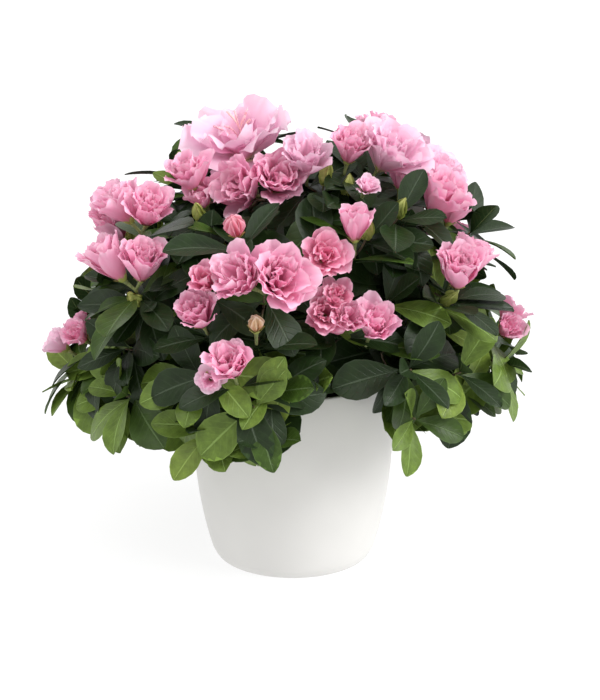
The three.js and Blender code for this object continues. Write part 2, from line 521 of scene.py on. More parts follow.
def blade_corners(blades, shape):
    """The corners of every blade, as an array of blade, row, column and place, with their normals."""
    table = {
        key: np.array([getattr(b, key) for b in blades], float)
        for key in "foot ahead face length width bend fold ruffle twist phase flare".split()
    }
    v, u = shape.rows, shape.columns
    ahead = table["ahead"] / np.linalg.norm(table["ahead"], axis=1)[:, None]
    side = crosswise(ahead, table["face"])
    face = crosswise(side, ahead)

    turn = table["bend"][:, None] * v**1.25 + table["flare"][:, None] * v**5
    middle_turn = (turn[:, 1:] + turn[:, :-1]) / 2
    step = table["length"][:, None] * np.diff(v)
    run = np.cumsum(np.cos(middle_turn) * step, 1)
    drop = np.cumsum(np.sin(middle_turn) * step, 1)
    run, drop = (np.pad(x, ((0, 0), (1, 0)))[..., None] for x in (run, drop))
    spine = table["foot"][:, None] + run * ahead[:, None] - drop * face[:, None]
    cos, sin = np.cos(turn)[..., None], np.sin(turn)[..., None]
    along = cos * ahead[:, None] - sin * face[:, None]
    over = sin * ahead[:, None] + cos * face[:, None]
    roll = (table["twist"][:, None] * v)[..., None]
    across = np.cos(roll) * side[:, None] + np.sin(roll) * over
    over = np.cos(roll) * over - np.sin(roll) * side[:, None]

    width = table["width"][:, None, None]
    half = width / 2 * shape.half_width[None, :, None]
    grown = v[None, :, None]
    phase = table["phase"][:, None, None]
    edge = np.abs(u)[None, None, :]
    rise = half * table["fold"][:, None, None] * edge**1.5
    waves = grown**2 * np.sin(4.2 * u + phase) * (0.4 + 0.6 * edge)
    waves = waves + grown**3 * 0.7 * np.sin(8.3 * u - 1.7 * phase)
    waves = waves + edge**3 * grown * 0.9 * np.sin(9 * grown + 2.3 * phase + 1.6 * np.sign(u))
    rise = rise + width * table["ruffle"][:, None, None] * waves
    reach = table["length"][:, None, None] * (
        shape.notching * grown**4 * np.sin(11 * u + 3 * phase)
        - shape.rounding * edge**2.4 * grown**3
    )
    corners = (
        spine[:, :, None]
        + across[:, :, None] * (u * half)[..., None]
        + over[:, :, None] * rise[..., None]
        + along[:, :, None] * reach[..., None]
    )
    return corners, np.broadcast_to(over[:, :, None], corners.shape)


def tile_places(shape, columns):
    """Each corner's place on the tile map, for blades whose tiles are in the given columns."""
    inside = 1 - 2 * TILE_EDGE
    u = TILE_EDGE + inside * (shape.columns + 1) / 2
    v = TILE_EDGE + inside * shape.rows
    across = (np.asarray(columns)[:, None, None] + u[None, None, :]) / shape.tile_columns
    across = np.broadcast_to(across, (len(columns), len(v), len(u)))
    along = np.broadcast_to(v[None, :, None], across.shape)
    return np.stack([across, along], -1).reshape(-1, 2)


def blade_mesh(name, blades, shape):
    """All the blades of one piece in one mesh."""
    corners, over = blade_corners(blades, shape)
    columns = np.array([b.column for b in blades])
    rows_columns = corners.shape[1:3]
    sheet = grid_faces(*rows_columns)
    count = rows_columns[0] * rows_columns[1]
    faces = (sheet[None] + (np.arange(len(blades)) * count)[:, None, None]).reshape(-1, 4)
    tiles = tile_places(shape, columns)
    if shape.thickness:
        belly = (1 - shape.columns**2)[None, None, :, None] * shape.thickness
        under = corners - over * belly
        under_faces = faces[:, ::-1] + corners.size // 3
        tiles = np.concatenate([tiles, tile_places(shape, columns + 1)])
        corners = np.concatenate([corners.reshape(-1, 3), under.reshape(-1, 3)])
        faces = np.concatenate([faces, under_faces])
    return quad_mesh(name, corners.reshape(-1, 3), faces, tiles)


# ---------------------------------------------------------------- how the crown grows


@dataclass
class Head:
    """A head of one or two blooms, or of one that is still in bud."""

    width: float  # of a bloom
    blooms: int
    spread: float  # 0 for closed cups and 1 for wide open ones
    tint: str


@dataclass
class Shoot:
    """The tip of a twig: where it is, which way it points and what it bears."""

    mass: str
    tip: Vector
    axis: Vector
    lift: float  # of its place on the crown above the level, in degrees
    inner: bool = False
    head: Head | None = None
    bud: bool = False
    roll: float = 0.0  # of its blooms round its axis


# The heads on the front half of the crown: turn and lift in degrees of each from the crown's middle,
# width of a bloom in millimetres, blooms, spread, lift of the way that they face, and tint. Turn is 0
# at the front and positive to the right.
FRONT_HEADS = [
    (-70, 77, 70, 1, 0.92, 68, "pale"),
    (10, 71, 30, 1, 0.35, 66, "pale"),
    (-53, 59, 30, 1, 0.35, 62, "pink"),
    (-22, 67, 37, 2, 0.36, 48, "pink"),
    (-55, 45, 29, 2, 0.25, 64, "pink"),
    (-50, 58, 20, 1, 0.30, 64, "pink"),
    (-50, 34, 32, 2, 0.14, 76, "pink"),
    (-8, 34, 36, 2, 0.40, 44, "pink"),
    (-24, 26, 28, 1, 0.20, 62, "pink"),
    (-22, 33, 22, 1, 0.35, 56, "deep"),
    (-79, 11, 23, 2, 0.35, 50, "pink"),
    (-84, 5, 22, 1, 0.45, 40, "pale"),
    (36, 68, 29, 1, 0.25, 70, "pink"),
    (54, 63, 42, 1, 0.50, 58, "pale"),
    (80, 54, 44, 1, 0.50, 60, "pale"),
    (61, 49, 33, 1, 0.30, 56, "pink"),
    (73, 45, 21, 1, 0.20, 70, "pink"),
    (58, 58, 17, 1, 0.25, 70, "pink"),
    (20, 47, 26, 1, 0.12, 78, "pink"),
    (10, 42, 29, 1, 0.70, 34, "deep"),
    (51, 33, 32, 2, 0.14, 76, "pink"),
    (63, 32, 19, 1, 0.15, 70, "pink"),
    (10, 29, 27, 1, 0.60, 30, "deep"),
    (16, 27, 24, 1, 0.50, 46, "pink"),
    (13, 33, 22, 1, 0.40, 54, "deep"),
    (23, 25, 29, 1, 0.25, 60, "pink"),
    (75, 14, 22, 2, 0.30, 54, "pink"),
    (-14, 16, 30, 1, 0.35, 50, "pink"),
    (-19, 12, 18, 1, 0.80, 10, "pale"),
    (32, 57, 15, 1, 0.40, 60, "pale"),
]
# Blossom in bud: turn, lift, width, facing and tint.
FRONT_BUDS = [(-17, 45, 15, 60, "bud"), (-9, 25, 12, 74, "cream")]
LEAF_BUDS = [(-45, 53), (22, 68), (34, 64), (38, 48), (26, 46), (-50, 26), (49, 26), (4, 22)]
SIDE_HEADS = [
    (112, 33, 26, 2, 0.25, 66, "pink"),
    (-112, 36, 26, 2, 0.30, 66, "pink"),
    (128, 50, 30, 1, 0.50, 62, "pale"),
    (-112, 16, 24, 1, 0.40, 50, "deep"),
    (122, 16, 24, 2, 0.30, 56, "pink"),
]
BACK_TURN = 191  # the back repeats the front's heads, turned by this
BACK_LIFT = 3  # and raised or lowered by as much as this
HIGHEST_REPEATED = 62  # heads over the top of the crown aren't repeated
WIDEST_REPEATED = 58  # nor are those at its sides
SIDE_TURN = 66  # heads that are turned further than this are at the sides
STALK = 7 * MM  # of a bloom, above its shoot's tip
WIDE_SPREAD = 0.9  # blooms that are more open than this are nearly single
BLOOM_LEAN = math.radians(24)  # of each bloom out of the middle of its head
HIGHEST_LEAF = 0.93 * CAD_BOX[1][2]  # leaves end below this
CROWN_RADIUS = 160 * MM
OUTER_DEPTH = (10, 22)  # of the tips of the outer shoots under the crown's outside, in millimetres
TOP_DEPTH = 30  # how much deeper they are over the top
INNER_DEPTH = (38, 66)  # of the tips of the inner shoots
HEAD_ROOM = 9 * MM  # between a head and the shoots round it
BUD_ROOM = 0.14  # between a leaf bud and the shoots round it, in radians
HANGING = 28 * MM  # least height of a shoot above the foot of its mass, for its leaves to hang
# Where the skirt is open above the rim: turn, half width and the height that the gap reaches.
GAPS = [(14, 9, 0.152)]


def lerp(a, b, t):
    """The value a share t of the way from a to b."""
    return a + (b - a) * t


def heading(turn, lift):
    """The direction at a turn and a lift, both in degrees."""
    turn, lift = math.radians(turn), math.radians(lift)
    return Vector((math.sin(turn) * math.cos(lift), -math.cos(turn) * math.cos(lift), math.sin(lift)))


def bearings(direction):
    """The turn and lift of a direction, in degrees."""
    turn = math.degrees(math.atan2(direction.x, -direction.y))
    return turn, math.degrees(math.asin(max(-1, min(1, direction.z))))


class Outline:
    """The outside of all the masses together."""

    def __init__(self):
        corners, faces, self.owners = [], [], []
        for name in MASSES:
            mesh = NODES[name].data
            first = len(corners)
            corners += [corner.co.copy() for corner in mesh.vertices]
            faces += [[first + i for i in face.vertices] for face in mesh.polygons]
            self.owners += [name] * len(mesh.polygons)
        self.tree = BVHTree.FromPolygons(corners, faces)
        low = Vector(map(min, zip(*corners, strict=True)))
        high = Vector(map(max, zip(*corners, strict=True)))
        self.reach = high - low
        self.middle = Vector((0, 0, low.z + 0.22 * self.reach.z))

    def at(self, direction):
        """The outermost place on the crown in a direction, and its mass, or None in a gap."""
        start = self.middle + direction * self.reach.length
        place, _, index, _ = self.tree.ray_cast(start, -direction)
        if place is None:
            return None
        near_side = (place - self.middle).dot(direction) > 0.25 * self.reach.x
        return (place, self.owners[index]) if near_side else None


def even_directions(count, lowest):
    """Directions spread evenly round the crown, from straight up down to a lift."""
    bottom = math.sin(math.radians(lowest))
    for i in range(count):
        height = 1 - (1 - bottom) * (i + 0.5) / count
        yield heading(math.degrees(i * GOLDEN), math.degrees(math.asin(height)))


def jittered(direction, amount, rng):
    """The direction, turned a little at random."""
    shift = Vector([rng.gauss(0, amount) for _ in range(3)])
    return (direction + shift).normalized()


def all_heads(rng):
    """The turn, lift, facing and head of all the blossom, front, sides and back."""
    rows = FRONT_HEADS + SIDE_HEADS
    rows += [(turn, lift, width, 1, 0, facing, tint) for turn, lift, width, facing, tint in FRONT_BUDS]
    for turn, lift, width, blooms, spread, facing, tint in rows:
        head = Head(width * MM, blooms, spread, tint)
        yield turn, lift, facing, head
        if abs(turn) < WIDEST_REPEATED and lift < HIGHEST_REPEATED:
            yield turn + BACK_TURN, lift + rng.uniform(-1, 1) * BACK_LIFT, facing, head


def sunk(turn, lift, head):
    """How far the middle of a bloom is under the crown's outside, as a share of its width."""
    at_side = abs(turn) > SIDE_TURN
    if at_side and lift < 50:
        return 0.30
    if head.spread > WIDE_SPREAD:
        return 0.35
    return 0.05 if at_side else -0.20


def tall(head):
    """The height of a bloom: a closed one is taller than it is wide."""
    return head.width * lerp(1.10, 0.45, head.spread)


def blooms_of(shoot):
    """The foot and the axis of every bloom in a shoot's head."""
    head, axis = shoot.head, shoot.axis
    if head.blooms == 1:
        return [(shoot.tip + axis * STALK, axis)]
    side = UP.cross(axis).normalized()
    other = axis.cross(side)
    found = []
    for i in range(head.blooms):
        around = shoot.roll + i * 2 * math.pi / head.blooms
        out = side * math.cos(around) + other * math.sin(around)
        own = axis * math.cos(BLOOM_LEAN) + out * math.sin(BLOOM_LEAN)
        found.append((shoot.tip + own * STALK + out * 0.1 * head.width, own))
    return found


@lru_cache(maxsize=None)
def shoots_of_crown(seed, outer_count, inner_count):
    """Every shoot of the crown."""
    rng = random.Random(seed)
    outline = Outline()
    shoots = []

    def add(direction, depth, rise, wander, **bears):
        """A shoot whose tip is at that depth under the crown's outside."""
        found = outline.at(direction)
        if found is None:
            return
        place, mass = found
        axis = jittered((direction + UP * rise).normalized(), wander, rng)
        turn, lift = bearings(direction)
        tip = place - direction * depth
        in_gap = any(abs(turn - at) < half + 3 and tip.z < top + 9 * MM for at, half, top in GAPS)
        if not in_gap and tip.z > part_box(mass)[0].z + HANGING:
            shoots.append(Shoot(mass, tip, axis, lift, **bears))

    taken = []
    for turn, lift, facing, head in all_heads(rng):
        direction = heading(turn, lift)
        taken.append((direction, head.width * (1 + 0.5 * (head.blooms - 1))))
        found = outline.at(direction)
        if found is None:
            continue
        place, mass = found
        over_top = 0.4 if lift > 74 else 1  # heads up there face more to the front
        axis = jittered(heading(turn * over_top, facing), 0.08, rng)
        centre = place - direction * sunk(turn, lift, head) * head.width
        tip = centre - axis * (STALK + 0.5 * tall(head))
        shoots.append(Shoot(mass, tip, axis, lift, head=head, roll=rng.gauss(0, 0.25)))
    buds = [heading(turn + back, lift) for turn, lift in LEAF_BUDS for back in (0, BACK_TURN)]
    for direction in buds:
        add(direction, 14 * MM, 0.5, 0.08, bud=True)
    for direction in even_directions(outer_count, -34):
        direction = jittered(direction, 0.05, rng)
        room = min(direction.angle(other) * CROWN_RADIUS - 0.5 * width for other, width in taken)
        if room > HEAD_ROOM and min(direction.angle(bud) for bud in buds) > BUD_ROOM:
            high = max(0, bearings(direction)[1]) / 90
            add(direction, (rng.uniform(*OUTER_DEPTH) + TOP_DEPTH * high) * MM, 0.25, 0.14)
    for direction in even_directions(inner_count, -30):
        direction = jittered(direction, 0.06, rng)
        add(direction, rng.uniform(*INNER_DEPTH) * MM, 0.2, 0.25, inner=True)
    return shoots


def crown_shoots():
    """Every shoot of the crown, by the present settings."""
    foliage = chosen("foliage")
    return shoots_of_crown(foliage.seed, foliage.shoots, foliage.inner_shoots)


def bough_end(mass):
    """Where a mass's bough enters it, and which way the bough runs there."""
    low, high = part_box(mass)
    middle = (low + high) / 2
    bough = NODES[mass.replace("foliage", "bough")].data
    corners = [corner.co for corner in bough.vertices]
    nearest = min(corners, key=lambda corner: (corner - middle).length)
    end = [corner for corner in corners if (corner - nearest).length < 4 * MM]
    place = sum(end, Vector()) / len(end)
    return place, (middle - place).normalized()


def bowed(start, heading_there, end, heading_here, steps):
    """A bent path that leaves and arrives in the given directions."""
    reach = (end - start).length / 3
    a, b = start + heading_there * reach, end - heading_here * reach
    path = []
    for i in range(steps + 1):
        t = i / steps
        s = 1 - t
        path.append(s**3 * start + 3 * s * s * t * a + 3 * s * t * t * b + t**3 * end)
    return path


def grow(foot, ahead, shoots, limbs, rng):
    """Branches from a foot to every shoot. The shoots are halved at each fork, across the way that
    they are spread most. Each limb is a path, with the number of shoots that it carries."""
    if len(shoots) == 1:
        shoot = shoots[0]
        limbs.append((bowed(foot, ahead, shoot.tip, shoot.axis, 6), 1))
        return
    tips = np.array([shoot.tip for shoot in shoots])
    middle = tips.mean(0)
    spread = np.linalg.svd(tips - middle)[2][0]
    towards = (Vector(middle) - foot).normalized()
    fork = foot.lerp(Vector(middle), rng.uniform(0.3, 0.5))
    limbs.append((bowed(foot, ahead, fork, towards, 4), len(shoots)))
    order = np.argsort((tips - middle) @ spread)
    half = len(order) // 2
    for side in (order[:half], order[half:]):
        grow(fork, towards, [shoots[i] for i in side], limbs, rng)


def grown_limbs():
    """The limbs inside every mass, from its bough's end to its shoots."""
    rng = random.Random(chosen("foliage").seed + 1)
    shoots = crown_shoots()
    limbs = []
    for mass in MASSES:
        own = [shoot for shoot in shoots if shoot.mass == mass]
        if own:
            place, ahead = bough_end(mass)
            grow(place, ahead, own, limbs, rng)
    return limbs


def frame_about(axis):
    """Two directions square to an axis and to each other."""
    side = axis.orthogonal().normalized()
    return side, axis.cross(side)


# ---------------------------------------------------------------- pot and compost


COMPOST_GAP = 0.4 * MM  # between the compost and the pot
CRUMB_SEED = 3


def wall_radius(pot, z):
    """The outside radius of the pot's wall at a height, or at each of an array of heights."""
    return pot.rim_radius - pot.taper * (1 - np.clip(z / pot.height, 0, 1)) ** 3


def rounded(start, corner, end, steps):
    """Points of a rounded corner, from start to end."""
    points = []
    for i in range(steps + 1):
        t = i / steps
        points.append(
            tuple(
                (1 - t) ** 2 * a + 2 * t * (1 - t) * b + t * t * c
                for a, b, c in zip(start, corner, end, strict=True)
            )
        )
    return points


def pot_profile(pot):
    """The pot's profile, from the middle of its underside up over the rim to the middle of its floor."""
    corner, top = pot.corner_height, pot.height
    foot = rounded(
        (pot.foot_radius, 0), (wall_radius(pot, 0) - MM, 0), (wall_radius(pot, corner), corner), 12
    )
    heights = np.linspace(corner, top - pot.lip, 25)[1:]
    outside = [(wall_radius(pot, z), z) for z in heights]
    inner_rim = pot.rim_radius - pot.wall
    rim = rounded(outside[-1], (pot.rim_radius, top), (pot.rim_radius - pot.lip, top), 5)[1:]
    rim += rounded(
        (inner_rim + pot.lip, top), (inner_rim, top), (inner_rim, top - pot.lip), 5
    )
    inside = [(wall_radius(pot, z) - pot.wall, z) for z in heights[-2::-1]]
    floor = [(pot.foot_radius, pot.floor), (POINT, pot.floor)]
    underside = [(POINT, 0), (pot.foot_radius * 0.5, 0)]
    return underside + foot + outside + rim + inside + floor


def pot_finish(pot):
    """Smooth satin white, with the faint unevenness of a sprayed glaze."""
    finish = Finish("satin_white")
    place = finish.place()
    broad = finish.speckle(place, 18, 2)
    fine = finish.speckle(place, 900, 3)
    body = finish.ramp(broad, (0.3, tinted(pot.colour, 0.97)), (0.7, tinted(pot.colour, 1.02)))
    height = fine * 0.5 + finish.speckle(place, 120, 2) * 0.5
    return finish.surface(
        {
            "Base Color": body,
            "Roughness": pot.roughness - 0.05 + 0.1 * fine,
            "Normal": finish.relief(height, 0.00012, 0.35),
            "Specular IOR Level": 0.4,
        }
    )


def make_pot():
    """The round pot, with its rounded foot and thin lip."""
    pot = chosen("pot")
    corners, faces = turned(pot_profile(pot), 128)
    mesh = quad_mesh("pot_body", corners, faces)
    return add_piece("pot_body", mesh, pot_finish(pot), "pot", "pot")


def compost_finish(compost):
    """Dark damp peat with paler fibres."""
    finish = Finish("damp_peat")
    place = finish.place()
    grain = finish.speckle(place, 420, 6, 0.75)
    fibre = finish.speckle(finish.place((1, 4, 2)), 260, 3)
    body = finish.ramp(
        grain, (0.3, tinted(compost.colour, 0.45)), (0.55, tuple(compost.colour)),
        (0.8, tinted(compost.colour, 2.6)),
    )
    pale = finish.step(fibre, 0.66, 0.74)
    return finish.surface(
        {
            "Base Color": finish.blend(pale * 0.5, body, (0.16, 0.105, 0.06)),
            "Roughness": 0.85 + 0.12 * grain,
            "Normal": finish.relief(grain, 0.0012, 0.9),
        }
    )


def crumb_mesh(rng, centre, radius):
    """One rough crumb: a cube rounded to an uneven lump."""
    ends = np.array([[x, y, z] for z in (-1, 1) for y in (-1, 1) for x in (-1, 1)], float)
    faces = [(0, 2, 3, 1), (4, 5, 7, 6), (0, 1, 5, 4), (2, 6, 7, 3), (0, 4, 6, 2), (1, 3, 7, 5)]
    stretch = np.array([rng.uniform(0.5, 1.1) for _ in range(3)])
    shift = np.array([[rng.uniform(-0.35, 0.35) for _ in range(3)] for _ in ends])
    turn = rng.uniform(0, math.pi)
    cos, sin = math.cos(turn), math.sin(turn)
    corners = (ends + shift) * stretch * radius * 0.6
    corners = corners @ np.array([[cos, sin, 0], [-sin, cos, 0], [0, 0, 1]])
    return corners + np.array(centre), np.array(faces)


def make_compost():
    """The compost: a low uneven mound with loose crumbs, filling the pot to below its rim."""
    compost, pot = chosen("compost"), chosen("pot")
    edge = SOIL_HIGH.x
    top, low = SOIL_HIGH.z, SOIL_LOW.z
    rings = np.linspace(edge, POINT, 46)
    surface = [(r, top - compost.mound * (r / edge) ** 2) for r in rings]
    heights = np.linspace(pot.corner_height, top - compost.mound, 8)[:-1]
    side = [(min(edge, wall_radius(pot, z) - pot.wall - COMPOST_GAP), z) for z in heights]
    side.insert(0, (pot.foot_radius - COMPOST_GAP, low))
    corners, faces = turned([(POINT, low), *side, *surface], 120)
    for corner in corners:
        if corner[2] > top - compost.mound - MM / 10:
            grain = noise.fractal(Vector(corner) * 160, 0.9, 2.1, 5)
            corner[2] += 1.1 * MM * (grain - 0.4)
    rng = random.Random(CRUMB_SEED)
    parts = [(corners, faces)]
    for _ in range(compost.crumbs):
        r, turn = edge * math.sqrt(rng.uniform(0.02, 0.95)), rng.uniform(0, 2 * math.pi)
        size = compost.crumb * rng.uniform(0.3, 1) ** 1.5
        z = top - compost.mound * (r / edge) ** 2
        parts.append(crumb_mesh(rng, (r * math.cos(turn), r * math.sin(turn), z), size))
    mesh = quad_mesh("compost", *joined(parts))
    return add_piece("compost", mesh, compost_finish(compost), "soil", "soil")


# ---------------------------------------------------------------- bark and twigs


def bark_finish(name, base, lighter):
    """Thin bark or skin, with darker fissures and lighter worn patches."""
    finish = Finish(name)
    place = finish.place()
    flakes = finish.speckle(finish.place((1, 1, 0.3)), 520, 6, 0.7)
    patches = finish.speckle(place, 90, 3)
    body = finish.ramp(flakes, (0.32, tinted(base, 0.35)), (0.5, tuple(base)), (0.72, lighter))
    worn = finish.blend(finish.step(patches, 0.5, 0.7) * 0.5, body, tinted(lighter, 1.25))
    return finish.surface(
        {
            "Base Color": worn,
            "Roughness": 0.72 + 0.2 * flakes,
            "Normal": finish.relief(flakes, 0.0006, 0.9),
        }
    )


def even_solid(node, size):
    """A limb's own solid, covered evenly with small four-cornered faces."""
    mesh = NODES[node].data.copy()
    body = bpy.data.objects.new("covering", mesh)
    bpy.context.scene.collection.objects.link(body)
    cover = body.modifiers.new("cover", "REMESH")
    cover.mode, cover.voxel_size = "VOXEL", size
    evened = body.modifiers.new("even", "SMOOTH")
    evened.factor, evened.iterations = 0.5, 6
    done = bpy.data.meshes.new_from_object(body.evaluated_get(bpy.context.evaluated_depsgraph_get()))
    corners = np.zeros(len(done.vertices) * 3)
    done.vertices.foreach_get("co", corners)
    normals = np.zeros(len(done.vertices) * 3)
    done.vertices.foreach_get("normal", normals)
    faces = np.array([tuple(face.vertices) for face in done.polygons])
    bpy.data.objects.remove(body)
    bpy.data.meshes.remove(mesh)
    bpy.data.meshes.remove(done)
    return corners.reshape(-1, 3), normals.reshape(-1, 3), faces


def barked(node, size, relief):
    """A limb with fissures that run along it."""
    corners, normals, faces = even_solid(node, size)
    upright = node == "stem"
    stretch = Vector((420, 420, 110)) if upright else Vector((300, 300, 300))
    for corner, normal in zip(corners, normals, strict=True):
        place = Vector(a * b for a, b in zip(corner, stretch, strict=True))
        ridge = 1 - 2 * abs(noise.noise(place))
        knots = noise.noise(Vector(corner) * 120)
        corner += normal * relief * (0.8 * ridge - 0.8 + 0.6 * knots)
    return corners, faces


def make_bark():
    """The stem and the boughs, with the relief of their bark."""
    bark = chosen("bark")
    parts = [
        barked(node, 0.7 * MM, bark.relief if node == "stem" else bark.relief * 0.4)
        for node in LIMBS
    ]
    mesh = quad_mesh("bark", *joined(parts))
    finish = bark_finish("brown_bark", bark.colour, (0.22, 0.165, 0.12))
    return add_piece("bark", mesh, finish, "bark", *LIMBS)


def make_twigs():
    """The twigs inside the masses, which grow on from the boughs to every shoot."""
    bark = chosen("bark")
    parts = []
    for path, carried in grown_limbs():
        foot = min(bark.limb_radius, bark.twig_radius * carried**0.5)
        tip = foot if carried > 1 else bark.twig_radius * 0.9
        radii = np.linspace(foot, tip, len(path))
        parts.append(tube(path, radii, 7))
    mesh = quad_mesh("twigs", *joined(parts))
    finish = bark_finish("twig_bark", tinted(bark.colour, 0.9), tuple(bark.shoot_colour))
    return add_piece("twigs", mesh, finish, "bark")


# ---------------------------------------------------------------- leaves


def leaf_outline(rows):
    """Half the width of a leaf along its length: a short stalk, then broadest past the middle."""
    blade = np.clip((rows - 0.05) / 0.95, 0, 1)
    return np.maximum(0.05, np.sin(math.pi * blade**1.45) ** 0.68)


LEAF_ROWS = np.array([0, 0.06, 0.16, 0.30, 0.45, 0.60, 0.74, 0.86, 0.94, 0.983, 1])
LEAF = BladeShape(
    rows=LEAF_ROWS,
    columns=np.linspace(-1, 1, 5),
    half_width=leaf_outline(LEAF_ROWS),
    rounding=0,
    notching=0,
    tile_columns=2,
    thickness=0.45 * MM,
)
POT_CLEARANCE = 2.5 * MM
MOST_TRIANGLES = 180_000  # in one piece
LOW_LIFT = 32  # leaves below this take more of the paler greens, which are painted light from behind, and they hang more
LOW_RANGE = 55  # and are wholly so when they are this much lower
BACKLIGHT_BY_LOWNESS = (0.7, 1.7)  # what lowness counts for in a leaf's tint, where there is none and most; the paler tints it brings are painted light from behind


def leaf_tint(shoot, age, low, rng):
    """The tint of a leaf, by its shoot, its age and how low it is, both from 0 to 1."""
    draw = rng.random()
    low = min(1, low * lerp(*BACKLIGHT_BY_LOWNESS, low))
    # Inner leaves mostly take the deep green, a dark copy of the leaf colour that is painted shade. Low
    # inner leaves take the backlit green, which is painted light from behind.
    if shoot.inner:
        return "bright" if draw < 0.5 * low else "green" if draw < 0.9 * low else "deep"
    # Low leaves take the young and backlit greens more often: painted light from behind.
    if draw < 0.10 * low + 0.05 * (age < 0.2):
        return "fresh"
    if draw < 0.03 + 0.72 * low:
        return "bright"
    # The rest take the green or the deep green; the deep green is partly painted shade.
    return "green" if draw < 0.20 + 0.78 * low else "deep"


def whorl(shoot, foliage, rng):
    """The leaves round the tip of a shoot, the youngest in the middle, each with its tint."""
    side, other = frame_about(shoot.axis)
    low = max(0.0, min(1.0, (LOW_LIFT - shoot.lift) / LOW_RANGE))
    count, youngest = (7, 0.4) if shoot.head else (7, 0.0) if shoot.inner else (9, 0.0)
    start = rng.uniform(0, 2 * math.pi)
    for i in range(count):
        age = lerp(youngest, 1, (i + 0.5) / count)
        lean = math.radians(lerp(34, 94, age) + rng.gauss(0, 7))
        around = start + i * GOLDEN
        out = side * math.cos(around) + other * math.sin(around)
        ahead = shoot.axis * math.cos(lean) + out * math.sin(lean)
        ahead.z -= (0.12 + 1.15 * low) * age + rng.uniform(0, 0.1)
        size = lerp(0.58, 1.06, age**0.7) * rng.uniform(0.85, 1.15)
        blade = Blade(
            foot=shoot.tip - shoot.axis * (9 * MM * age) + out * 0.8 * MM,
            ahead=ahead.normalized(),
            face=shoot.axis + UP * 0.45,
            length=foliage.leaf_length * size,
            width=foliage.leaf_width * size * rng.uniform(0.86, 1.12),
            bend=lerp(0.15, 0.75, age) + 0.35 * low + rng.gauss(0, 0.12),
            fold=rng.uniform(0.0, 0.34),
            ruffle=rng.uniform(0.0, 0.02),
            twist=rng.gauss(0, 0.18),
            phase=rng.uniform(0, 2 * math.pi),
            hem=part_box(shoot.mass)[0].z + rng.uniform(0, 20) * MM,
        )
        yield leaf_tint(shoot, age, low, rng), blade


def hanging_clear(blades, shape):
    """The blades that miss the pot, its mouth and the gaps in the skirt, and that end above their
    hem. Those that don't are lifted until they do."""
    pot = chosen("pot")
    kept, trying = [], list(blades)
    for _ in range(8):
        if not trying:
            break
        x, y, z = np.moveaxis(blade_corners(trying, shape)[0], -1, 0)
        wall = wall_radius(pot, z) + POT_CLEARANCE
        bad = (np.hypot(x, y) < wall) & (z < pot.height + POT_CLEARANCE)
        bad |= z < np.array([blade.hem for blade in trying])[:, None, None]
        bad |= (x < CAD_BOX[0][0]) | (x > CAD_BOX[1][0]) | (abs(y) > CAD_BOX[1][1])
        turn = np.degrees(np.arctan2(x, -y))
        for middle, half, top in GAPS:
            bad |= (abs(turn - middle) < half) & (z < top)
        bad = bad.any(axis=(1, 2))
        kept += [blade for blade, cut in zip(trying, bad, strict=True) if not cut]
        trying = [blade for blade, cut in zip(trying, bad, strict=True) if cut]
        for blade in trying:
            out = Vector((blade.foot.x, blade.foot.y, 0)).normalized()
            near_pot = blade.foot.xy.length < 1.5 * pot.rim_radius
            blade.ahead = (blade.ahead + UP * 0.2 + out * (0.15 if near_pot else -0.1)).normalized()
            blade.bend *= 0.8
            blade.length *= 0.97
    return kept


def clear_of_blooms(blades, shape):
    """The blades that neither cut through a bloom nor stand up over the crown's highest heads."""
    corners = blade_corners(blades, shape)[0].reshape(len(blades), -1, 3)
    hit = (corners[..., 2] > HIGHEST_LEAF).any(1)
    for shoot in (shoot for shoot in crown_shoots() if shoot.head):
        width, height = shoot.head.width, tall(shoot.head)
        for foot, axis in blooms_of(shoot):
            away = corners - np.array(foot)
            along = np.clip(away @ np.array(axis), 0.35 * height, 0.75 * height)
            gap = np.linalg.norm(away - along[..., None] * np.array(axis), axis=-1)
            hit |= (gap < (0.40 + 0.12 * shoot.head.spread) * width).any(1)
    return [blade for blade, cut in zip(blades, hit, strict=True) if not cut]


def in_pieces(name, blades, shape):
    """The blades in pieces of at most MOST_TRIANGLES triangles, each with its name."""
    sides = 2 if shape.thickness else 1
    each = 2 * sides * (len(shape.rows) - 1) * (len(shape.columns) - 1)
    most = MOST_TRIANGLES // each
    if len(blades) <= most:
        return [(name, blades)]
    count = math.ceil(len(blades) / most)
    most = math.ceil(len(blades) / count)
    return [(f"{name}_{i + 1}", blades[i * most : (i + 1) * most]) for i in range(count)]


def leaf_finish(name, base):
    """A glossy leaf with a pale midrib, sunken side veins and a thin pale edge. The underside, which
    has the other half of the tile map, is paler and matt."""
    finish = Finish(name)
    where = finish.tile_place()
    x, along, _ = finish.parts(where)
    under = x > 0.5
    across = abs((x * 2).part() * 2 - 1)
    midrib = 1 - finish.step(across, 0.02, 0.075)
    line = abs((along * 8.5 - across * 2.1).part() * 2 - 1)
    veins = finish.step(line, 0.72, 0.98) * (1 - across * 0.75)
    edge = finish.step(across, 0.90, 0.98)
    grain = finish.speckle(finish.stretched(where, (1, 1.4, 1)), 34, 4, 0.7)
    patches = finish.speckle(where, 7, 2)
    dark, light = tinted(base, 0.72), tinted(base, 1.35)
    body = finish.ramp(patches, (0.3, dark), (0.52, tuple(base)), (0.75, light))
    body = finish.blend(grain * 0.35, body, dark)
    body = finish.blend(veins * 0.16, body, tuple(1.7 * c + 0.02 for c in base))
    body = finish.blend(midrib * 0.7, body, tuple(1.8 * c + 0.045 for c in base))
    body = finish.blend(edge * 0.5, body, tuple(1.9 * c + 0.05 for c in base))
    pale = finish.blend(midrib * 0.6 + veins * 0.2, tinted(base, 1.7), (0.16, 0.21, 0.08))
    height = grain * 0.25 - veins * 0.35 - midrib * 0.8
    return finish.surface(
        {
            "Base Color": finish.blend(under, body, pale),
            "Roughness": 0.30 + 0.16 * grain + 0.25 * under,
            "Normal": finish.relief(height, 0.00045, 0.75),
            "Specular IOR Level": 0.22,
        }
    )


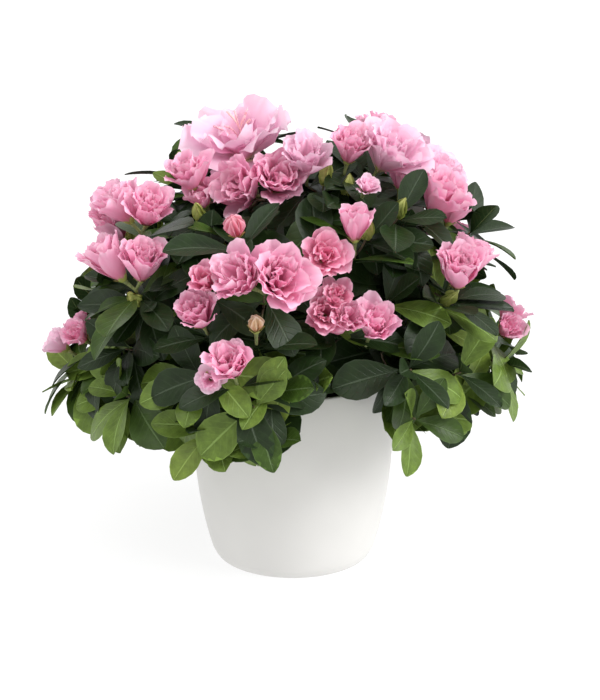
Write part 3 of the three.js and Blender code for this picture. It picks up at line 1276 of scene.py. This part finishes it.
def make_leaves():
    """All the leaves, in whorls at the ends of the twigs, in one piece for each tint."""
    foliage = chosen("foliage")
    rng = random.Random(foliage.seed + 2)
    # One piece per tint: the deep green carries painted shade, and the backlit and young-and-backlit
    # greens carry painted light from behind.
    by_tint = {"deep": [], "green": [], "bright": [], "fresh": []}
    for shoot in crown_shoots():
        for tint, blade in whorl(shoot, foliage, rng):
            by_tint[tint].append(blade)
    stands_for = MASSES
    pieces = []
    for tint, blades in by_tint.items():
        finish = leaf_finish(f"leaf_{tint}", getattr(foliage, tint))
        blades = clear_of_blooms(hanging_clear(blades, LEAF), LEAF)
        for name, own in in_pieces(f"leaves_{tint}", blades, LEAF):
            mesh = blade_mesh(name, own, LEAF)
            pieces.append(add_piece(name, mesh, finish, "foliage", *stands_for))
            stands_for = []
    return pieces


# ---------------------------------------------------------------- blossom and buds


@dataclass
class Ring:
    """A ring of petals or bud scales."""

    petals: int
    length: float  # as a share of the outermost petals'
    width: float  # as a share of the bloom's width
    closed: float  # lean out of the axis in a closed bloom, in degrees
    open: float  # and in an open one
    cup: float  # how far the petals of a closed bloom curl in, in radians
    flare: float  # how far their ends turn out again
    fold: float
    ruffle: float
    rise: float  # of its foot above the bloom's own, as a share of the bloom's width
    # The tile map's third; the further in it is, the deeper its petals are painted, as shade.
    column: int


DOUBLE = (
    Ring(6, 1.00, 0.52, 28, 66, 0.60, 0.60, 0.30, 0.070, 0.00, 0),
    Ring(5, 0.98, 0.50, 23, 55, 0.50, 0.55, 0.34, 0.085, 0.01, 0),
    Ring(5, 0.93, 0.45, 18, 44, 0.42, 0.50, 0.36, 0.105, 0.02, 1),
    Ring(5, 0.86, 0.38, 12, 33, 0.30, 0.45, 0.42, 0.140, 0.04, 1),
    Ring(5, 0.78, 0.30, 6, 20, 0.15, 0.40, 0.50, 0.190, 0.06, 2),
)
SMALL = (
    Ring(5, 1.00, 0.58, 26, 62, 0.60, 0.55, 0.32, 0.075, 0.00, 0),
    Ring(5, 0.93, 0.48, 17, 44, 0.45, 0.50, 0.38, 0.110, 0.02, 1),
    Ring(5, 0.82, 0.36, 8, 26, 0.20, 0.45, 0.46, 0.180, 0.05, 2),
)
WIDE = (
    Ring(6, 1.12, 0.56, 40, 52, 0.30, 0.45, 0.22, 0.095, 0.00, 0),
    Ring(5, 0.98, 0.48, 26, 38, 0.20, 0.50, 0.28, 0.130, 0.02, 0),
    Ring(4, 0.66, 0.32, 14, 26, 0.10, 0.30, 0.40, 0.180, 0.04, 1),
)
SHUT = (
    Ring(3, 1.00, 0.95, 16, 16, 0.62, 0.0, 0.55, 0.010, 0.10, 2),
    Ring(5, 1.05, 0.90, 24, 24, 0.85, 0.1, 0.50, 0.010, 0.00, 1),
)
LEAF_BUD = (
    Ring(3, 1.40, 0.95, 12, 12, 0.50, 0.0, 0.55, 0.0, 0.25, 0),
    Ring(4, 1.16, 0.95, 24, 24, 0.80, 0.0, 0.50, 0.0, 0.10, 0),
    Ring(5, 0.80, 0.80, 36, 36, 0.95, 0.0, 0.50, 0.0, 0.00, 0),
)
CALYX = (Ring(5, 0.8, 0.45, 48, 48, 0.30, 0.3, 0.30, 0.0, 0.0, 0),)

CLOSED_LENGTH = 1.12  # of the outermost petals, as a share of a closed bloom's width
OPEN_LENGTH = 0.50  # and of an open one's
SMALL_WIDTH = 27 * MM  # narrower blooms have fewer petals
LEAF_BUD_WIDTH = 10 * MM
CALYX_WIDTH = 9 * MM
STALK_RADII = [1.1 * MM] * 3 + [1.4 * MM, 2.0 * MM]
STAMENS = 8
STAMEN_RADII = [0.35 * MM] * 6 + [0.85 * MM, 0.75 * MM]


def petal_outline(rows):
    """Half the width of a petal along its length: a narrow foot that opens to a broad blade."""
    opening = np.sin(math.pi / 2 * np.minimum(1, rows / 0.66)) ** 1.25
    closing = 0.10 * (np.maximum(0, rows - 0.66) / 0.34) ** 2
    return 0.20 + 0.80 * opening - closing


PETAL_ROWS = np.array([0, 0.16, 0.34, 0.52, 0.68, 0.82, 0.92, 1])
PETAL = BladeShape(
    rows=PETAL_ROWS,
    columns=np.linspace(-1, 1, 11),
    half_width=petal_outline(PETAL_ROWS),
    rounding=0.22,
    notching=0.012,
    tile_columns=3,
)
SCALE_ROWS = np.linspace(0, 1, 6)
SCALE = BladeShape(
    rows=SCALE_ROWS,
    columns=np.linspace(-1, 1, 5),
    half_width=np.maximum(0.06, np.sin(math.pi * np.clip(SCALE_ROWS, 0.12, 1) ** 0.8) ** 0.7),
    rounding=0,
    notching=0,
    tile_columns=1,
)


def ring_blades(rings, foot, axis, width, spread, rng):
    """The petals or scales of a bloom or a bud, ring by ring."""
    side, other = frame_about(axis)
    longest = width * lerp(CLOSED_LENGTH, OPEN_LENGTH, spread)
    loose = min(1, spread * 4)
    for ring in rings:
        start = rng.uniform(0, 2 * math.pi)
        for i in range(ring.petals):
            around = start + (i + rng.uniform(-0.12, 0.12)) * 2 * math.pi / ring.petals
            out = side * math.cos(around) + other * math.sin(around)
            lean = math.radians(lerp(ring.closed, ring.open, spread) + rng.gauss(0, 7) * loose)
            size = 1 + rng.uniform(-0.14, 0.12) * loose
            yield Blade(
                foot=foot + axis * ring.rise * width + out * 0.03 * width,
                ahead=axis * math.cos(lean) + out * math.sin(lean),
                face=axis * math.sin(lean) - out * math.cos(lean),
                length=ring.length * longest * size,
                width=ring.width * width * size,
                bend=lerp(-ring.cup, 0.15, spread) * rng.uniform(0.85, 1.15),
                fold=ring.fold,
                ruffle=ring.ruffle * rng.uniform(0.8, 1.25),
                twist=rng.gauss(0, 0.2) * loose,
                phase=rng.uniform(0, 2 * math.pi),
                flare=ring.flare * rng.uniform(0.6, 1.3),
                column=ring.column,
            )


def petal_finish(name, base, glow):
    """A thin ruffled petal: paler at its edge, deeper in its throat, with faint rays. The deeper throat
    is partly the petal's own colour and partly painted shade of the bloom's middle.
    Each third of the tile map is for one depth of the head, and the inner thirds are painted deeper as
    shade."""
    finish = Finish(name)
    where = finish.tile_place()
    x, along, _ = finish.parts(where)
    across = abs((x * 3).part() * 2 - 1)
    # The inner and middle thirds of the tile map, whose petals are painted deeper as shade.
    inner_ring_shade = x > 2 / 3
    middle = x > 1 / 3
    rays = finish.speckle(finish.stretched(where, (60, 2.2, 1)), 1, 3)
    soft = finish.speckle(where, 9, 2)
    # The deeper pink of the throat and the inner rings: partly the petal's own colour, partly painted
    # shade.
    deep = (base[0] * 0.95, base[1] * 0.50, base[2] * 0.66)
    rim = tuple(lerp(c, w, 0.75) for c, w in zip(base, (0.99, 0.86, 0.92), strict=True))
    body = finish.blend(rays * 0.35 + soft * 0.15, tuple(base), rim)
    # Deeper towards the petal's foot and on the inner rings: partly its own colour, partly painted
    # shade.
    depth = (1 - finish.step(along, 0.05, 0.72)) * 0.75 + inner_ring_shade * 0.22 + middle * 0.10
    body = finish.blend(depth, body, deep)
    ends = finish.step(along, 0.78, 0.98)
    sides = finish.step(across, 0.62, 0.95) * finish.step(along, 0.30, 0.65)
    body = finish.blend((ends * 0.60 + sides * 0.40), body, rim)
    foot = 1 - finish.step(along, 0.05, 0.30)
    body = finish.blend(foot * 0.75, body, (0.64, 0.60, 0.28))
    return finish.surface(
        {
            "Base Color": body,
            "Roughness": 0.55 + 0.12 * rays,
            "Normal": finish.relief(rays * 0.7 + soft * 0.3, 0.0004, 0.5),
            "Specular IOR Level": 0.3,
        },
        glow=glow,
        glow_colour=tuple(lerp(c, d, 0.12) for c, d in zip(base, deep, strict=True)),
    )


def scale_finish(name, base, tip):
    """Green bud scales, which turn to another colour at their tips."""
    finish = Finish(name)
    where = finish.tile_place()
    _, along, _ = finish.parts(where)
    rays = finish.speckle(finish.stretched(where, (40, 2, 1)), 1, 3)
    body = finish.blend(finish.step(along, 0.35, 1.0) * 0.8, tuple(base), tip)
    body = finish.blend(rays * 0.3, body, tinted(base, 0.55))
    return finish.surface(
        {
            "Base Color": body,
            "Roughness": 0.42 + 0.15 * rays,
            "Normal": finish.relief(rays, 0.0003, 0.5),
        }
    )


def petals_of(shoot, rng):
    """The petals of all the blooms of a shoot."""
    head = shoot.head
    if head.tint in ("bud", "cream"):
        rings = SHUT
    elif head.spread > WIDE_SPREAD:
        rings = WIDE
    else:
        rings = SMALL if head.width < SMALL_WIDTH else DOUBLE
    for foot, axis in blooms_of(shoot):
        width = head.width * rng.uniform(0.92, 1.06)
        spread = max(0, head.spread * rng.uniform(0.75, 1.25)) if head.blooms > 1 else head.spread
        yield from ring_blades(rings, foot, axis, width, spread, rng)


def make_blossom():
    """All the double blossom, open and in bud, in one or more pieces for each tint."""
    blossom, foliage = chosen("blossom"), chosen("foliage")
    rng = random.Random(foliage.seed + 3)
    by_tint = {}
    for shoot in (shoot for shoot in crown_shoots() if shoot.head):
        by_tint.setdefault(shoot.head.tint, []).extend(petals_of(shoot, rng))
    pieces = []
    for tint, blades in by_tint.items():
        finish = petal_finish(f"petal_{tint}", tuple(getattr(blossom, tint)), blossom.glow)
        for name, own in in_pieces(f"blossom_{tint}", blades, PETAL):
            pieces.append(add_piece(name, blade_mesh(name, own, PETAL), finish, "blossom"))
    return pieces


def make_stalks():
    """The stalks of the blooms, and the stamens of those that are wide open."""
    foliage = chosen("foliage")
    rng = random.Random(foliage.seed + 4)
    stalks, stamens = [], []
    for shoot in (shoot for shoot in crown_shoots() if shoot.head):
        for foot, axis in blooms_of(shoot):
            start = shoot.tip - shoot.axis * 2 * MM
            path = bowed(start, shoot.axis, foot + axis * MM, axis, len(STALK_RADII) - 1)
            stalks.append(tube(path, STALK_RADII, 8))
            if shoot.head.spread <= WIDE_SPREAD:
                continue
            side, other = frame_about(axis)
            for i in range(STAMENS):
                around, lean = i * GOLDEN, math.radians(rng.uniform(8, 30))
                out = side * math.cos(around) + other * math.sin(around)
                ahead = axis * math.cos(lean) + out * math.sin(lean)
                end = foot + ahead * shoot.head.width * rng.uniform(0.42, 0.55)
                curve = bowed(foot, axis, end, (ahead + out).normalized(), len(STAMEN_RADII) - 1)
                stamens.append(tube(curve, STAMEN_RADII, 6))
    finish = bark_finish("green_stalk", (0.17, 0.21, 0.07), (0.30, 0.30, 0.12))
    pieces = [add_piece("stalks", quad_mesh("stalks", *joined(stalks)), finish, "foliage")]
    finish = bark_finish("stamen", (0.85, 0.42, 0.50), (0.88, 0.60, 0.45))
    pieces.append(add_piece("stamens", quad_mesh("stamens", *joined(stamens)), finish, "blossom"))
    return pieces


def make_buds():
    """The leaf buds in the middle of their whorls, and the sepals under the blossom."""
    foliage = chosen("foliage")
    rng = random.Random(foliage.seed + 5)
    scales = []
    for shoot in crown_shoots():
        if shoot.bud:
            scales += ring_blades(LEAF_BUD, shoot.tip, shoot.axis, LEAF_BUD_WIDTH, 0, rng)
        elif shoot.head:
            for foot, axis in blooms_of(shoot):
                scales += ring_blades(CALYX, foot - axis * MM, axis, CALYX_WIDTH, 0, rng)
    finish = scale_finish("bud_green", foliage.bud, (0.62, 0.62, 0.22))
    return add_piece("bud_scales", blade_mesh("bud_scales", scales, SCALE), finish, "foliage")


# ---------------------------------------------------------------- stage


# The lights: name, strength, and in degrees the angle, turn and lift of each.
SUNS = [("key_light", 2.9, 35, 68, 38), ("fill_light", 1.3, 50, -38, 62)]
FLOOR_RADIUS, WALL_RADIUS, WALL_TOP = 5, 6, 2.6  # of the floor, which turns up into a wall


def make_stage():
    """A plain pale floor that turns up far off, soft studio light with the key from the right, and
    the camera."""
    stage, scene = chosen("stage"), bpy.context.scene
    wall = rounded((FLOOR_RADIUS, 0), (WALL_RADIUS, 0), (WALL_RADIUS, 1), 12)
    corners, faces = turned([(MM, 0), *wall, (WALL_RADIUS, WALL_TOP)], 64)
    floor = bpy.data.objects.new("floor", quad_mesh("floor", corners, faces))
    pale = {
        "Base Color": (*stage.floor, 1),
        "Emission Color": (1, 1, 1, 1),
        "Emission Strength": 0.8,
        "Roughness": 0.8,
    }
    floor.data.materials.append(Finish("pale_floor").surface(pale))
    scene.collection.objects.link(floor)

    lights = []
    for name, energy, angle, turn, lift in SUNS:
        light = bpy.data.objects.new(name, bpy.data.lights.new(name, "SUN"))
        light.data.energy = energy
        light.data.angle = math.radians(angle)
        light.rotation_euler = (-heading(turn, lift)).to_track_quat("-Z", "Y").to_euler()
        scene.collection.objects.link(light)
        lights.append(light)
    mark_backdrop(floor, *lights)

    world = bpy.data.worlds.new("soft_room")
    world.use_nodes = True
    world.node_tree.nodes["Background"].inputs["Color"].default_value = (1, 1, 1, 1)
    world.node_tree.nodes["Background"].inputs["Strength"].default_value = 0.72
    scene.world = world
    scene.view_settings.view_transform = "Standard"

    camera = bpy.data.objects.new("camera", bpy.data.cameras.new("camera"))
    back = heading(0, math.degrees(stage.lift))
    upright = back.cross(Vector((1, 0, 0)))
    target = UP * stage.target_height
    aim = target + Vector((1, 0, 0)) * stage.aim_right - upright * stage.aim_below
    camera.location = target + back * stage.distance
    camera.rotation_euler = (aim - camera.location).to_track_quat("-Z", "Y").to_euler()
    camera.data.lens = stage.lens
    camera.data.sensor_width = 36
    camera.data.clip_start, camera.data.clip_end = 0.05, 40
    scene.collection.objects.link(camera)
    scene.camera = camera


# ---------------------------------------------------------------- operators and panel


class AZALEA_OT_make_pot(bpy.types.Operator):
    """Makes the round white pot"""

    bl_idname = "azalea.make_pot"
    bl_label = "Make the pot"

    def execute(self, context):
        make_pot()
        return {"FINISHED"}


class AZALEA_OT_make_compost(bpy.types.Operator):
    """Makes the mound of compost in the pot"""

    bl_idname = "azalea.make_compost"
    bl_label = "Make the compost"

    def execute(self, context):
        make_compost()
        return {"FINISHED"}


class AZALEA_OT_make_bark(bpy.types.Operator):
    """Makes the stem and the boughs, with the relief of their bark"""

    bl_idname = "azalea.make_bark"
    bl_label = "Make the stem and boughs"

    def execute(self, context):
        make_bark()
        return {"FINISHED"}


class AZALEA_OT_make_twigs(bpy.types.Operator):
    """Grows the twigs on from the boughs"""

    bl_idname = "azalea.make_twigs"
    bl_label = "Grow the twigs"

    def execute(self, context):
        make_twigs()
        return {"FINISHED"}


class AZALEA_OT_make_leaves(bpy.types.Operator):
    """Makes the whorls of leaves in place of the plain masses"""

    bl_idname = "azalea.make_leaves"
    bl_label = "Make the leaves"

    def execute(self, context):
        make_leaves()
        return {"FINISHED"}


class AZALEA_OT_make_buds(bpy.types.Operator):
    """Makes the leaf buds and the sepals"""

    bl_idname = "azalea.make_buds"
    bl_label = "Make the buds"

    def execute(self, context):
        make_buds()
        return {"FINISHED"}


class AZALEA_OT_make_blossom(bpy.types.Operator):
    """Makes the heads of double blossom, with their stalks and stamens"""

    bl_idname = "azalea.make_blossom"
    bl_label = "Make the blossom"

    def execute(self, context):
        make_blossom()
        make_stalks()
        return {"FINISHED"}


class AZALEA_OT_make_stage(bpy.types.Operator):
    """Makes the floor, the lights and the camera"""

    bl_idname = "azalea.make_stage"
    bl_label = "Make the stage"

    def execute(self, context):
        make_stage()
        return {"FINISHED"}


OPERATORS = [
    AZALEA_OT_make_pot,
    AZALEA_OT_make_compost,
    AZALEA_OT_make_bark,
    AZALEA_OT_make_twigs,
    AZALEA_OT_make_leaves,
    AZALEA_OT_make_buds,
    AZALEA_OT_make_blossom,
    AZALEA_OT_make_stage,
]


class VIEW3D_PT_azalea(bpy.types.Panel):
    """Lists the settings of the azalea and the steps that make it"""

    bl_label = "Potted azalea"
    bl_space_type = "VIEW_3D"
    bl_region_type = "UI"
    bl_category = "Azalea"

    def draw(self, context):
        for name, group in GROUPS.items():
            box = self.layout.box()
            box.label(text=name.removeprefix("azalea_").capitalize())
            for key in group.__annotations__:
                box.prop(getattr(context.scene, name), key)
        for operator in OPERATORS:
            self.layout.operator(operator.bl_idname)


def register():
    for group in GROUPS.values():
        bpy.utils.register_class(group)
    for name, group in GROUPS.items():
        setattr(bpy.types.Scene, name, PointerProperty(type=group))
    for made in (*OPERATORS, VIEW3D_PT_azalea):
        bpy.utils.register_class(made)


def unregister():
    for made in (VIEW3D_PT_azalea, *reversed(OPERATORS)):
        bpy.utils.unregister_class(made)
    for name, group in reversed(GROUPS.items()):
        delattr(bpy.types.Scene, name)
        bpy.utils.unregister_class(group)


def main():
    register()
    for operator in OPERATORS:
        step = operator.bl_idname.split(".")[1]
        getattr(bpy.ops.azalea, step)()
    sizes = {"cad": CAD_BOX, "visual": [list(corner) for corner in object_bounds()]}
    sizes = {name: [[float(x) for x in corner] for corner in box] for name, box in sizes.items()}


if __name__ == "__main__":
    main()
